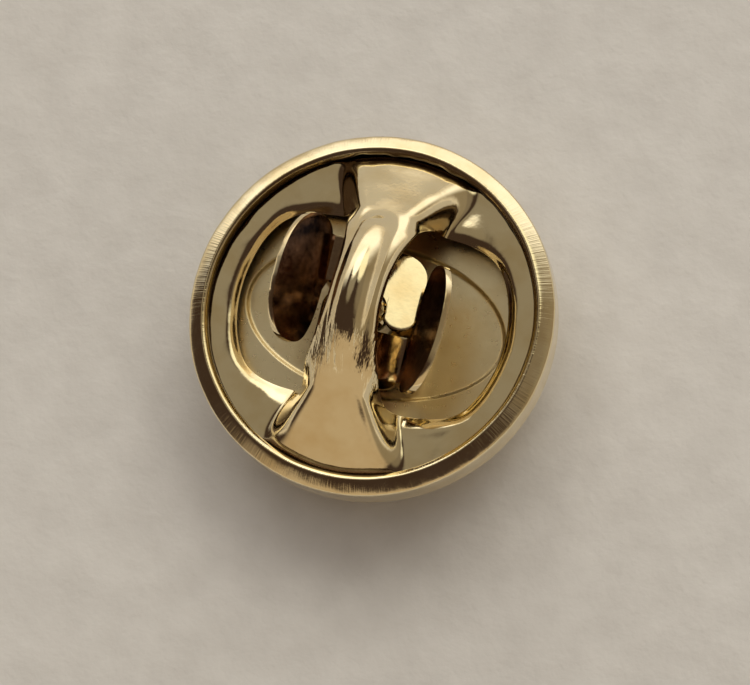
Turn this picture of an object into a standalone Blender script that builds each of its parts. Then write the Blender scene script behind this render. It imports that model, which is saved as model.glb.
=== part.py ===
"""Small round enamel pin, lying on its enamelled face, with its butterfly clutch pushed down on the post.

The post stands on the badge along +Z. The clutch's bridge runs along Y, and a wing stands on either side of it
along X. Lengths are millimetres in this file and metres in the scene.
"""

import math

import bmesh
import bpy
from mathutils import Matrix, Vector

MM = 0.001

CLEARANCE = 0.02

# Badge: a die-struck plate, enamel cells sunk in its front, and a post on its back.
BADGE_RADIUS = 5.0
BADGE_THICKNESS = 1.3
BADGE_EDGE_BEVEL = 0.12
BADGE_SEGMENTS = 60
CELL_DEPTH = 0.55
METAL_LINE = 0.25
CENTRE_CELL_RADIUS = 0.95
PETALS = 6
PETAL_START = 1.3
PETAL_END = 3.95
PETAL_HALF_WIDTH = 0.8
PETAL_FULLNESS = 0.75
PETAL_TAPER = 0.3
PETAL_STEPS = 12
FIELD_OUTER_RADIUS = 4.45
FIELD_STEPS = 14
FIELD_ARC_STEPS = 6

POST_RADIUS = 0.55
POST_LENGTH = 4.9
POST_FOOT_RADIUS = 0.95
POST_FOOT_HEIGHT = 0.18
POST_FOOT_BEVEL = 0.06
POST_TIP_HEIGHT = 1.1
POST_TIP_RADIUS = 0.06
POST_TIP_FULLNESS = 0.62
POST_SEGMENTS = 24
SOLDER_RADIUS = 1.3
SOLDER_TOP_RADIUS = 0.75
SOLDER_HEIGHT = 0.42
SOLDER_HOLLOW = 1.2
SOLDER_STEPS = 3

# The post's grip grooves: bottom and top, measured down from the shoulder of its tip.
POST_GROOVES = ((1.6, 1.0), (0.55, 0.2))
POST_GROOVE_DEPTH = 0.1
POST_GROOVE_SLOPE = 0.12

# Clutch: every height from here on is above the clutch's own underside.
CLUTCH_GAP = 0.85
CLUTCH_BOTTOM = BADGE_THICKNESS + CLUTCH_GAP
RIM_RADIUS = 5.75
RIM_TOP = 1.55
LIP_RADIUS = 5.1
LIP_SHEET = 0.27
LIP_ROUNDING = 0.05
CUP_WALL = 0.3
CUP_SEGMENTS = 64
CUP_SHEET = 0.3
CUP_CORNER = 0.2
CUP_HEEL = 0.22
DISH_DEPTH = 0.12
FLOOR_TOP = CUP_SHEET + DISH_DEPTH
DISH_HALF_LENGTH = 4.25
DISH_HALF_WIDTH = 2.5
DISH_SLOPE = 0.22
DISH_OVERHANG = 0.15
POST_HOLE_RADIUS = 0.8
POST_HOLE_FLARE = 0.12

# The rolled rim's section, from the lip's edge over the crest: radius, and depth under the rim's top.
RIM_SECTION = (
    (LIP_RADIUS, 0.21),
    (5.12, 0.13),
    (5.21, 0.03),
    (5.27, 0.0),
    (5.39, 0.04),
    (5.68, 0.24),
    (RIM_RADIUS, 0.35),
)

# Cap: a flange gripped by the cup's rolled lip, two windows, and the bridge between them.
CAP_SHEET = 0.25
CAP_RADIUS = 5.4
CAP_EDGE_HEIGHT = 1.06
WINDOW_RADIUS = 4.3
WINDOW_HALF_LENGTH = 2.9
WINDOW_EDGE_HEIGHT = 0.97
WINDOW_CORNER = 10
FOOT_HALF_ANGLE = math.radians(25.5)
FOOT_REACH = 5.15
FOOT_CREST_HALF_WIDTH = 0.5
FOOT_SPREAD = 2.45
FOOT_OUTER_SPREAD = 2.9
BRIDGE_CROWN = 4.25
BRIDGE_BEND = 2.2
BRIDGE_HALF_WIDTH = 0.72
BRIDGE_END_HALF_WIDTH = 1.28
BRIDGE_SIDE_DROP = 0.42
BRIDGE_END_DROP = 0.3
BRIDGE_FLARE = 2.4
BRIDGE_ROUND_SHARE = 0.75
RIB_HALF_WIDTH = 0.52
RIB_HEIGHT = 0.3
RIB_HALF_LENGTH = 2.6
RIB_FADE = 0.8
FOOT_COLUMNS = 16
WINDOW_COLUMNS = 30
FLANGE_ROWS = 7
BRIDGE_ROWS = 26

# Spring clip: a leaf on the cup's floor, and at each end of it a wing whose arm crosses over to the post.
CLIP_SHEET = 0.22
LEAF_HEIGHT = 0.56
LEAF_HALF_LENGTH = 1.36
LEAF_HALF_WIDTH = 2.15
LEAF_HOLE_RADIUS = 0.75
HINGE_X = 1.5
HINGE_HEIGHT = 0.62
RISER_INNER_Y = 0.62
RISER_OUTER_Y = 2.05
RISER_FOOT = 0.08
WING_BASE_HEIGHT = 1.75
WING_TOP_HEIGHT = 3.45
WING_LEAN = math.radians(32)
WING_BEND = 0.25
WING_HALF_WIDTH = 2.05
WING_SHIFT = 0.38
WING_ROUNDNESS = 2.6
WING_FIRST_TURN = -0.985
WING_LAST_TURN = 0.97
WING_CURL = 0.15
RISER_ROWS = 4
WING_ROWS = 12
WING_COLUMNS = 8
ARM_HEIGHT = 1.7
JAW_RADIUS = 0.58
JAW_START = 75
JAW_END = -18
ARM_INNER_Y = 0.62
ARM_OUTER_Y = 2.0
ARM_CORNER = 0.8
TONGUE_X = 0.98
TONGUE_END_Y = 0.08
TONGUE_RADIUS = 0.5
TONGUE_START = 212
ARM_ARC_STEPS = 8


def clear_scene():
    """Removes whatever the start-up file put in the scene."""
    for thing in list(bpy.data.objects):
        bpy.data.objects.remove(thing, do_unlink=True)


def make_material(name, colour, roughness, metallic):
    """A Principled material."""
    material = bpy.data.materials.new(name)
    material.use_nodes = True
    shader = material.node_tree.nodes["Principled BSDF"]
    shader.inputs["Base Color"].default_value = (*colour, 1.0)
    shader.inputs["Roughness"].default_value = roughness
    shader.inputs["Metallic"].default_value = metallic
    material.diffuse_color = (*colour, 1.0)
    return material


def make_mesh(name, points, faces):
    """A mesh from points in millimetres, its faces turned outwards."""
    mesh = bpy.data.meshes.new(name)
    mesh.from_pydata([Vector(point) * MM for point in points], [], faces)
    body = bmesh.new()
    body.from_mesh(mesh)
    bmesh.ops.remove_doubles(body, verts=body.verts, dist=1e-7)
    bmesh.ops.recalc_face_normals(body, faces=body.faces)
    body.to_mesh(mesh)
    body.free()
    return mesh


def add_object(name, mesh, material=None, at=(0, 0, 0), turn=0.0, parent=None):
    """An object in the scene, placed in millimetres in its parent's frame and turned about Z."""
    thing = bpy.data.objects.new(name, mesh)
    bpy.context.scene.collection.objects.link(thing)
    thing.parent = parent
    thing.location = Vector(at) * MM
    thing.rotation_euler = (0, 0, turn)
    if material:
        mesh.materials.clear()
        mesh.materials.append(material)
        mesh.shade_smooth()
        mesh.set_sharp_from_angle(angle=math.radians(35))
    return thing


def add_helper(name, mesh, parent=None):
    """A cutter or a shape to be joined, which isn't part of the model."""
    helper = add_object(name, mesh, parent=parent)
    helper.hide_render = True
    helper.display_type = "WIRE"
    return helper


def add_boolean(thing, helper, operation):
    """Cuts a helper's shape from an object, or joins it on."""
    modifier = thing.modifiers.new(operation.lower(), "BOOLEAN")
    modifier.operation = operation
    modifier.solver = "EXACT"
    modifier.object = helper


def add_thickness(thing, thickness):
    """Gives a sheet's middle surface its thickness, half to each side."""
    modifier = thing.modifiers.new("sheet", "SOLIDIFY")
    modifier.thickness = thickness * MM
    modifier.offset = 0.0


def finished_mesh(thing):
    """The mesh that an object's modifiers make."""
    graph = bpy.context.evaluated_depsgraph_get()
    return bpy.data.meshes.new_from_object(thing.evaluated_get(graph))


def smooth_step(low, high, value):
    """0 below low, 1 above high, and a smooth rise between them."""
    share = min(1.0, max(0.0, (value - low) / (high - low)))
    return share * share * (3 - 2 * share)


def mix(first, second, share):
    """The value that lies this share of the way from first to second."""
    return first + (second - first) * share


def angles(count):
    """Evenly spaced angles of a whole turn."""
    return [2 * math.pi * step / count for step in range(count)]


def oval(half_length, half_width, height, count, roundness=1.0):
    """One ring of points: a circle, or a fuller oval where roundness is under 1."""
    ring = []
    for angle in angles(count):
        along, across = math.cos(angle), math.sin(angle)
        x = half_length * math.copysign(abs(along) ** roundness, along)
        y = half_width * math.copysign(abs(across) ** roundness, across)
        ring.append((x, y, height))
    return ring


def circle(radius, height, count):
    """One round ring of points."""
    return oval(radius, radius, height, count)


def loft(rings, closed):
    """Points and faces of a skin over rings of equal count: closed on itself, or with a flat cap at each end."""
    count = len(rings[0])
    points = [point for ring in rings for point in ring]
    faces = []
    for row in range(len(rings) if closed else len(rings) - 1):
        here, there = row * count, (row + 1) % len(rings) * count
        for step in range(count):
            after = (step + 1) % count
            faces.append((here + step, here + after, there + after, there + step))
    if not closed:
        faces.append(tuple(range(count)))
        faces.append(tuple(range(len(points) - count, len(points))))
    return points, faces


def prism(outline, low, high):
    """Points and faces of a flat outline raised from low to high."""
    return loft([[(x, y, height) for x, y in outline] for height in (low, high)], closed=False)


def arc(centre, radius, start, end, steps):
    """Points along an arc, angles in degrees, both ends included."""
    turns = [math.radians(mix(start, end, step / steps)) for step in range(steps + 1)]
    return [(centre[0] + radius * math.cos(a), centre[1] + radius * math.sin(a)) for a in turns]


def petal_half_width(radius):
    """Half the width of a petal at a distance from the badge's centre, 0 beyond its ends."""
    share = (radius - PETAL_START) / (PETAL_END - PETAL_START)
    return PETAL_HALF_WIDTH * math.sin(math.pi * share) ** PETAL_FULLNESS if 0 < share < 1 else 0.0


def petal_outline(grow):
    """A pointed oval along +X, its edge moved outwards by grow."""
    side = []
    for step in range(PETAL_STEPS + 1):
        turn = math.pi * step / PETAL_STEPS
        radius = mix(PETAL_START, PETAL_END, (1 - math.cos(turn)) / 2)
        side.append((radius - grow * math.cos(turn), petal_half_width(radius) + grow * math.sin(turn)))
    back = [(x, -y) for x, y in reversed(side[1:-1])]
    return [(side[0][0], 0.0), *side[1:-1], (side[-1][0], 0.0), *back]


def field_outline(grow):
    """The cell between two petals, along +X, its edge moved outwards by grow."""
    inner = CENTRE_CELL_RADIUS + METAL_LINE - grow
    outer = FIELD_OUTER_RADIUS + grow
    side = []
    for step in range(FIELD_STEPS + 1):
        radius = mix(inner, outer, step / FIELD_STEPS)
        petal_room = petal_half_width(radius) + METAL_LINE * smooth_step(0.0, PETAL_TAPER, petal_half_width(radius))
        room = max(petal_room, METAL_LINE / 2) - grow
        side.append((radius, math.pi / PETALS - room / radius))
    rim = [(outer, side[-1][1] * (1 - 2 * step / FIELD_ARC_STEPS)) for step in range(1, FIELD_ARC_STEPS)]
    back = [(radius, -turn) for radius, turn in reversed(side)]
    middle = [(inner, 0.0)]
    return [(radius * math.cos(turn), radius * math.sin(turn)) for radius, turn in side + rim + back + middle]


def turned(outline, angle):
    """The outline turned about the badge's centre."""
    cos, sin = math.cos(angle), math.sin(angle)
    return [(x * cos - y * sin, x * sin + y * cos) for x, y in outline]


def cell_outlines(grow):
    """Every enamel cell's name and outline, the edges moved outwards by grow."""
    circle_outline = [(x, y) for x, y, _ in circle(CENTRE_CELL_RADIUS + grow, 0, POST_SEGMENTS)]
    cells = {"enamel_centre": circle_outline}
    for number in range(PETALS):
        angle = 2 * math.pi * number / PETALS
        cells[f"enamel_petal_{number + 1}"] = turned(petal_outline(grow), angle)
        cells[f"enamel_field_{number + 1}"] = turned(field_outline(grow), angle + math.pi / PETALS)
    return cells


def build_badge_base(material):
    """The struck metal plate, with a bevelled edge and a sunk cell for each patch of enamel."""
    bevel = BADGE_EDGE_BEVEL
    rings = [
        circle(BADGE_RADIUS - bevel, 0, BADGE_SEGMENTS),
        circle(BADGE_RADIUS, bevel, BADGE_SEGMENTS),
        circle(BADGE_RADIUS, BADGE_THICKNESS - bevel, BADGE_SEGMENTS),
        circle(BADGE_RADIUS - bevel, BADGE_THICKNESS, BADGE_SEGMENTS),
    ]
    plate = add_object("badge_base", make_mesh("badge_base", *loft(rings, closed=False)), material)
    points, faces = [], []
    for outline in cell_outlines(CLEARANCE).values():
        cell_points, cell_faces = prism(outline, -CELL_DEPTH, CELL_DEPTH)
        faces += [tuple(index + len(points) for index in face) for face in cell_faces]
        points += cell_points
    add_boolean(plate, add_helper("cell_cutter", make_mesh("cell_cutter", points, faces)), "DIFFERENCE")


def build_enamel(materials):
    """One fired patch of enamel in each cell, flush with the metal lines at the front."""
    for name, outline in cell_outlines(0).items():
        points, faces = prism(outline, 0, CELL_DEPTH - CLEARANCE)
        kind = name.split("_")[1]
        add_object(name, make_mesh(name, points, faces), materials[kind])


def build_post(material):
    """The nail-like post: a wide foot, a round shank with two grip grooves, and a sharp tip."""
    shoulder = POST_LENGTH - POST_TIP_HEIGHT
    profile = [
        (POST_FOOT_RADIUS, CLEARANCE),
        (POST_FOOT_RADIUS, POST_FOOT_HEIGHT),
        (POST_RADIUS, POST_FOOT_HEIGHT + POST_FOOT_BEVEL),
    ]
    for bottom, top in POST_GROOVES:
        profile += [
            (POST_RADIUS, shoulder - bottom),
            (POST_RADIUS - POST_GROOVE_DEPTH, shoulder - bottom + POST_GROOVE_SLOPE),
            (POST_RADIUS - POST_GROOVE_DEPTH, shoulder - top - POST_GROOVE_SLOPE),
            (POST_RADIUS, shoulder - top),
        ]
    profile += [
        (POST_RADIUS, shoulder),
        (POST_RADIUS * POST_TIP_FULLNESS, POST_LENGTH - POST_TIP_HEIGHT / 2),
        (POST_TIP_RADIUS, POST_LENGTH),
    ]
    rings = [circle(radius, height, POST_SEGMENTS) for radius, height in profile]
    mesh = make_mesh("post", *loft(rings, closed=False))
    add_object("post", mesh, material, at=(0, 0, BADGE_THICKNESS))


def build_solder(material):
    """The fillet of solder that holds the post's foot to the badge."""
    inner = POST_FOOT_RADIUS + CLEARANCE
    shank = POST_RADIUS + CLEARANCE
    profile = [(inner, CLEARANCE)]
    for step in range(SOLDER_STEPS + 1):
        share = step / SOLDER_STEPS
        radius = mix(SOLDER_RADIUS, SOLDER_TOP_RADIUS, share)
        profile.append((radius, mix(CLEARANCE, SOLDER_HEIGHT, share**SOLDER_HOLLOW)))
    profile += [
        (shank, SOLDER_HEIGHT),
        (shank, POST_FOOT_HEIGHT + POST_FOOT_BEVEL + CLEARANCE),
        (inner, POST_FOOT_HEIGHT + CLEARANCE),
    ]
    rings = [circle(radius, height, POST_SEGMENTS) for radius, height in profile]
    mesh = make_mesh("post_solder", *loft(rings, closed=True))
    add_object("post_solder", mesh, material, at=(0, 0, BADGE_THICKNESS))


def build_clutch_base(material, parent):
    """The cup: a floor with an oval dish and the post's hole, and a rim rolled over the cap's flange."""
    low = FLOOR_TOP - CUP_SHEET
    dish_top = FLOOR_TOP - DISH_DEPTH
    wall = RIM_RADIUS - CUP_WALL
    lip_under = RIM_TOP - LIP_SHEET
    heel_step = CUP_HEEL * (1 - math.sqrt(0.5))
    count = CUP_SEGMENTS

    def dish(shrink, height):
        return oval(DISH_HALF_LENGTH - shrink, DISH_HALF_WIDTH - shrink, height, count)

    inside = [
        circle(POST_HOLE_RADIUS, dish_top, count),
        dish(DISH_SLOPE, dish_top),
        dish(0.0, FLOOR_TOP),
        circle(wall - CUP_CORNER, FLOOR_TOP, count),
        circle(wall, FLOOR_TOP + CUP_CORNER, count),
        circle(wall, lip_under - LIP_ROUNDING, count),
        circle(wall - LIP_ROUNDING, lip_under, count),
        circle(LIP_RADIUS + LIP_ROUNDING, lip_under, count),
    ]
    rim = [circle(radius, RIM_TOP - depth, count) for radius, depth in RIM_SECTION]
    underside = [
        circle(RIM_RADIUS, low + CUP_HEEL, count),
        circle(RIM_RADIUS - heel_step, low + heel_step, count),
        circle(RIM_RADIUS - CUP_HEEL, low, count),
        dish(-DISH_OVERHANG, low),
        dish(DISH_SLOPE - DISH_OVERHANG, 0.0),
        circle(POST_HOLE_RADIUS + POST_HOLE_FLARE, 0.0, count),
        circle(POST_HOLE_RADIUS, POST_HOLE_FLARE, count),
    ]
    mesh = make_mesh("clutch_base", *loft(inside + rim + underside, closed=True))
    add_object("clutch_base", mesh, material, parent=parent)


def crown_height(y):
    """Height of the bridge's middle line: an arch that runs on as straight feet down to the flange's edge."""
    arch = min(abs(y), BRIDGE_BEND)
    roundness = (BRIDGE_CROWN - CAP_EDGE_HEIGHT) / (2 * BRIDGE_BEND * FOOT_REACH - BRIDGE_BEND**2)
    foot = max(0.0, min(abs(y), FOOT_REACH) - BRIDGE_BEND)
    return BRIDGE_CROWN - roundness * (arch**2 + 2 * BRIDGE_BEND * foot)


def flange_height(x, y):
    """Height of the cap outside the bridge: a shallow dish, raised to the bridge's feet along Y."""
    radius = math.hypot(x, y)
    share = smooth_step(WINDOW_RADIUS, LIP_RADIUS, radius)
    ring = mix(WINDOW_EDGE_HEIGHT, CAP_EDGE_HEIGHT, share)
    out = smooth_step(WINDOW_HALF_LENGTH, FOOT_REACH, abs(y))
    over = 1 - smooth_step(FOOT_CREST_HALF_WIDTH, mix(FOOT_SPREAD, FOOT_OUTER_SPREAD, out), abs(x))
    outwards = mix(abs(y), radius, out)
    return mix(ring, max(ring, crown_height(outwards)), over)


def window_reach(angle):
    """Distance from the centre to the windows' outer outline, a circle cut off at both ends with round corners."""
    across = WINDOW_HALF_LENGTH / max(1e-6, abs(math.sin(angle)))
    return (WINDOW_RADIUS**-WINDOW_CORNER + across**-WINDOW_CORNER) ** (-1 / WINDOW_CORNER)


def flange_columns():
    """For each column round the flange: its inner and its outer point, and whether it is on a foot."""
    foot_inner = math.atan2(WINDOW_HALF_LENGTH, BRIDGE_END_HALF_WIDTH)
    foot_outer = math.pi / 2 - FOOT_HALF_ANGLE
    columns = []
    for side in (1, -1):
        for step in range(FOOT_COLUMNS):
            share = 1 - 2 * step / FOOT_COLUMNS
            outer = math.pi / 2 - share * FOOT_HALF_ANGLE
            inner = (share * BRIDGE_END_HALF_WIDTH, WINDOW_HALF_LENGTH)
            columns.append((inner, outer, side))
        for step in range(WINDOW_COLUMNS):
            share = 2 * step / WINDOW_COLUMNS - 1
            around = math.pi + share * foot_inner
            reach = window_reach(around)
            inner = (reach * math.cos(around), reach * math.sin(around))
            columns.append((inner, math.pi + share * foot_outer, side))
    points = []
    for (x, y), outer, side in columns:
        angle = outer if side > 0 else outer + math.pi
        points.append(((side * x, side * y), (CAP_RADIUS * math.cos(angle), CAP_RADIUS * math.sin(angle))))
    return points


def bridge_point(y, share):
    """A point of the bridge's middle surface: share runs from -1 to 1 across it."""
    run = (abs(y) / WINDOW_HALF_LENGTH) ** BRIDGE_FLARE
    half_width = mix(BRIDGE_HALF_WIDTH, BRIDGE_END_HALF_WIDTH, run)
    turn = share * math.pi / 2
    blend = smooth_step(BRIDGE_ROUND_SHARE, 1.0, abs(y) / WINDOW_HALF_LENGTH)
    x = half_width * mix(math.sin(turn), share, blend)
    arched = crown_height(y) - mix(BRIDGE_SIDE_DROP, BRIDGE_END_DROP, run) * (1 - math.cos(turn))
    z = mix(arched, flange_height(x, y), blend)
    across = max(0.0, 1 - (x / RIB_HALF_WIDTH) ** 2)
    along = 1 - smooth_step(RIB_HALF_LENGTH - RIB_FADE, RIB_HALF_LENGTH, abs(y))
    return x, y, z + RIB_HEIGHT * across * along


def build_clutch_cap(material, parent):
    """The cap: one sheet with a gripped flange, a window on either side, and the bridge between them."""
    columns = flange_columns()
    count = len(columns)
    points, faces = [], []
    for row in range(FLANGE_ROWS + 1):
        share = row / FLANGE_ROWS
        for inner, outer in columns:
            x, y = mix(inner[0], outer[0], share), mix(inner[1], outer[1], share)
            points.append((x, y, flange_height(x, y)))
    for row in range(FLANGE_ROWS):
        for step in range(count):
            here, after = row * count + step, row * count + (step + 1) % count
            faces.append((here, after, after + count, here + count))
    half = FOOT_COLUMNS + WINDOW_COLUMNS
    rows = [list(range(FOOT_COLUMNS + 1))]
    for row in range(1, BRIDGE_ROWS):
        y = WINDOW_HALF_LENGTH * (1 - 2 * row / BRIDGE_ROWS)
        rows.append([len(points) + step for step in range(FOOT_COLUMNS + 1)])
        points += [bridge_point(y, 1 - 2 * step / FOOT_COLUMNS) for step in range(FOOT_COLUMNS + 1)]
    rows.append([half + FOOT_COLUMNS - step for step in range(FOOT_COLUMNS + 1)])
    for upper, lower in zip(rows, rows[1:]):
        for step in range(FOOT_COLUMNS):
            faces.append((upper[step], upper[step + 1], lower[step + 1], lower[step]))
    cap = add_object("clutch_cap", make_mesh("clutch_cap", points, faces), material, parent=parent)
    add_thickness(cap, CAP_SHEET)


def build_spring_leaf(material, parent):
    """The clip's leaf, lying in the cup's dish, with a round hole for the post."""
    half = CLIP_SHEET / 2
    count = POST_SEGMENTS
    rings = []
    for height in (LEAF_HEIGHT - half, LEAF_HEIGHT + half):
        edge = oval(LEAF_HALF_LENGTH, LEAF_HALF_WIDTH, height, count, 0.35)
        hole = circle(LEAF_HOLE_RADIUS, height, count)
        rings += [hole, edge] if not rings else [edge, hole]
    mesh = make_mesh("spring_leaf", *loft(rings, closed=True))
    add_object("spring_leaf", mesh, material, parent=parent)


def wing_row(height):
    """(x, low y, high y) of the left wing's sheet at a height, x and height counted from its hinge line."""
    base, top = WING_BASE_HEIGHT - HINGE_HEIGHT, WING_TOP_HEIGHT - HINGE_HEIGHT
    x = -math.tan(WING_LEAN) * max(0.0, height - base + WING_BEND)
    share = abs(2 * (height - base) / (top - base) - 1)
    half_width = WING_HALF_WIDTH * max(0.0, 1 - share**WING_ROUNDNESS) ** (1 / WING_ROUNDNESS)
    if height <= base or half_width == 0:
        return x, RISER_INNER_Y, RISER_OUTER_Y
    low, high = WING_SHIFT - half_width, WING_SHIFT + half_width
    if height < (base + top) / 2:
        low, high = min(low, RISER_INNER_Y), max(high, RISER_OUTER_Y)
    return x, low, high


def wing_sheet():
    """Points and faces of the middle surface of the left wing: a narrow riser, and the round wing on top of it."""
    base, top = WING_BASE_HEIGHT - HINGE_HEIGHT, WING_TOP_HEIGHT - HINGE_HEIGHT
    heights = [mix(RISER_FOOT, base, row / RISER_ROWS) for row in range(RISER_ROWS)]
    for row in range(WING_ROWS + 1):
        turn = mix(WING_FIRST_TURN, WING_LAST_TURN, row / WING_ROWS) * math.pi / 2
        heights.append((base + top) / 2 + (top - base) / 2 * math.sin(turn))
    points, faces = [], []
    for height in heights:
        x, low, high = wing_row(height)
        for column in range(WING_COLUMNS + 1):
            y = mix(low, high, column / WING_COLUMNS)
            curl = WING_CURL * ((y - WING_SHIFT) / WING_HALF_WIDTH) ** 2 if height > base else 0.0
            points.append((x + curl, y, height))
    width = WING_COLUMNS + 1
    for row in range(len(heights) - 1):
        for column in range(WING_COLUMNS):
            here = row * width + column
            faces.append((here, here + 1, here + 1 + width, here + width))
    return points, faces


def arm_outline():
    """The left wing's arm seen from above: it passes the post and curls round its far side, where the jaw is."""
    jaw = arc((0, 0), JAW_RADIUS, JAW_START, JAW_END, ARM_ARC_STEPS)
    tongue = arc((TONGUE_X, TONGUE_END_Y), TONGUE_RADIUS, TONGUE_START, 360, ARM_ARC_STEPS)
    far = TONGUE_X + TONGUE_RADIUS
    corner = arc((far - ARM_CORNER, ARM_OUTER_Y - ARM_CORNER), ARM_CORNER, 0, 90, ARM_ARC_STEPS)
    back = [(-HINGE_X, ARM_OUTER_Y), (-HINGE_X, ARM_INNER_Y), (0.0, ARM_INNER_Y)]
    return jaw + tongue + corner + back


def build_wings(material, parent):
    """Two like wings, one turned half round, each with its origin on the fold that it bends at."""
    sheet = add_helper("wing_sheet", make_mesh("wing_sheet", *wing_sheet()))
    add_thickness(sheet, CLIP_SHEET)
    half = CLIP_SHEET / 2
    low, high = ARM_HEIGHT - HINGE_HEIGHT - half, ARM_HEIGHT - HINGE_HEIGHT + half
    outline = [(x + HINGE_X, y) for x, y in arm_outline()]
    arm = add_helper("wing_arm", make_mesh("wing_arm", *prism(outline, low, high)))
    add_boolean(sheet, arm, "UNION")
    mesh = finished_mesh(sheet)
    bpy.data.objects.remove(sheet)
    bpy.data.objects.remove(arm)
    for name, side in (("left_wing", -1), ("right_wing", 1)):
        at = (side * HINGE_X, 0, HINGE_HEIGHT)
        fold = add_object(f"{name}_fold", None, at=at, parent=parent)
        add_object(name, mesh, material, turn=0.0 if side < 0 else math.pi, parent=fold)


def main():
    clear_scene()
    gold = make_material("gold_plate", (0.83, 0.66, 0.36), 0.15, 1.0)
    bronze = make_material("spring_bronze", (0.8, 0.56, 0.27), 0.2, 1.0)
    solder = make_material("silver_solder", (0.7, 0.68, 0.62), 0.35, 1.0)
    enamel = {
        "centre": make_material("yellow_enamel", (0.85, 0.55, 0.06), 0.08, 0.0),
        "petal": make_material("white_enamel", (0.85, 0.84, 0.8), 0.08, 0.0),
        "field": make_material("blue_enamel", (0.03, 0.11, 0.3), 0.08, 0.0),
    }
    build_badge_base(gold)
    build_enamel(enamel)
    build_post(gold)
    build_solder(solder)
    clutch = add_object("clutch", None, at=(0, 0, CLUTCH_BOTTOM))
    build_clutch_base(gold, clutch)
    build_clutch_cap(gold, clutch)
    build_spring_leaf(bronze, clutch)
    build_wings(bronze, clutch)


main()
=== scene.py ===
"""Looks for the enamel pin: its polished clutch seen from above, the badge face down on pale paper."""

import math

import bpy
import numpy as np
from mathutils import Matrix, Vector, noise


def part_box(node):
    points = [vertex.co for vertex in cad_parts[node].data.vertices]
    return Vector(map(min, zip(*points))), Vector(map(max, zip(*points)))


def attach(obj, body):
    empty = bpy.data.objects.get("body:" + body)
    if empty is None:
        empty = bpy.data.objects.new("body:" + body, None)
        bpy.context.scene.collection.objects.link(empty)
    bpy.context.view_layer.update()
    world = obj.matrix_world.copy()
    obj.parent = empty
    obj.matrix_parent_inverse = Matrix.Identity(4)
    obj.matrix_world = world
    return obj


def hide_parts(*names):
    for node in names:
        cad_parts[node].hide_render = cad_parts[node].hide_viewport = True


MM = 0.001

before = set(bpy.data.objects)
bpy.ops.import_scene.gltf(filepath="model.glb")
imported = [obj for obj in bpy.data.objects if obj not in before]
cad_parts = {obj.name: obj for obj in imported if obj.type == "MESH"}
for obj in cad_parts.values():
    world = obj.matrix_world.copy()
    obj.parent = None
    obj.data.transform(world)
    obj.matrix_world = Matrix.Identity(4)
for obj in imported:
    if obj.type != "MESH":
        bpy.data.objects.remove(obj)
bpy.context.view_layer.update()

# The clutch's own frame: millimetres above its underside, on the post's axis.
CLUTCH_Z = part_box("clutch_base")[0].z / MM
RIM_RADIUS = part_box("clutch_base")[1].x / MM
RIM_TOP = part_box("clutch_base")[1].z / MM - CLUTCH_Z
CAP_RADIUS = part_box("clutch_cap")[1].x / MM

# Picture directions on the table: north is up in the picture, east is to its right.
TURN = math.radians(15.5)
EAST = Vector((math.cos(TURN), math.sin(TURN), 0))
NORTH = Vector((-math.sin(TURN), math.cos(TURN), 0))
UP = Vector((0, 0, 1))

CAMERA_TILT = math.radians(16.7)
CAMERA_FROM_SOUTH = math.radians(33.7)
CAMERA_DISTANCE = 105 * MM
VIEW_WIDTH = 23.25 * MM
FILM_WIDTH = 36
AIM_EAST = 0.1 * MM
AIM_NORTH = -0.855 * MM
AIM_HEIGHT = 1.0 * MM

# Cup.
COLUMNS = 360
CUP_SHEET = 0.3
CUP_WALL = RIM_RADIUS - CUP_SHEET
DISH_DEPTH = 0.12
FLOOR_TOP = CUP_SHEET + DISH_DEPTH
DISH_HALF_LENGTH = 4.25
DISH_HALF_WIDTH = 2.5
POST_HOLE_RADIUS = 0.8
LIP_RADIUS = 5.1
LIP_UNDER = RIM_TOP - 0.27
CREST_RADIUS = 5.32
CUP_SOFTENING = 2
RIM_WANDER_START = 4.6
RIM_WANDER_FULL = 5.2

# The cup's section as stretches of (radius, height), from the post's hole over the rim and back underneath.
HOLE_TOP = ((POST_HOLE_RADIUS, CUP_SHEET), (POST_HOLE_RADIUS + 0.08, CUP_SHEET))
FLOOR_CORNER = (
    (CUP_WALL - 0.3, FLOOR_TOP),
    (CUP_WALL - 0.05, FLOOR_TOP + 0.03),
    (CUP_WALL, FLOOR_TOP + 0.25),
)
LIP_UNDERSIDE = (
    (CUP_WALL, LIP_UNDER - 0.05),
    (CUP_WALL - 0.05, LIP_UNDER),
    (LIP_RADIUS + 0.06, LIP_UNDER),
    (LIP_RADIUS, LIP_UNDER + 0.02),
)
RIM_ROLL = (
    (LIP_RADIUS, RIM_TOP - 0.15),
    (LIP_RADIUS + 0.06, RIM_TOP - 0.05),
    (CREST_RADIUS - 0.05, RIM_TOP + 0.01),
    (CREST_RADIUS + 0.03, RIM_TOP - 0.01),
    (RIM_RADIUS - 0.07, RIM_TOP - 0.22),
    (RIM_RADIUS + 0.01, RIM_TOP - 0.29),
    (RIM_RADIUS, RIM_TOP - 0.5),
)
HEEL = (
    (RIM_RADIUS, DISH_DEPTH + 0.3),
    (RIM_RADIUS + 0.01, DISH_DEPTH + 0.1),
    (RIM_RADIUS - 0.12, DISH_DEPTH - 0.01),
    (RIM_RADIUS - 0.5, DISH_DEPTH),
)
HOLE_UNDER = ((POST_HOLE_RADIUS + 0.2, 0.0), (POST_HOLE_RADIUS, 0.08))

# The dish's pressed edge from above and from below: distance inside the dish's outline, and height.
DISH_EDGE_ABOVE = ((0.26, CUP_SHEET), (0.12, CUP_SHEET), (0.05, FLOOR_TOP), (-0.04, FLOOR_TOP))
DISH_EDGE_BELOW = ((-0.3, DISH_DEPTH), (-0.15, DISH_DEPTH), (0.02, 0.0), (0.2, 0.0))

# The rows of the cup's section that make the lip's edge, which wanders.
LIP_ROWS = (11, 12, 13)

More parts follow.
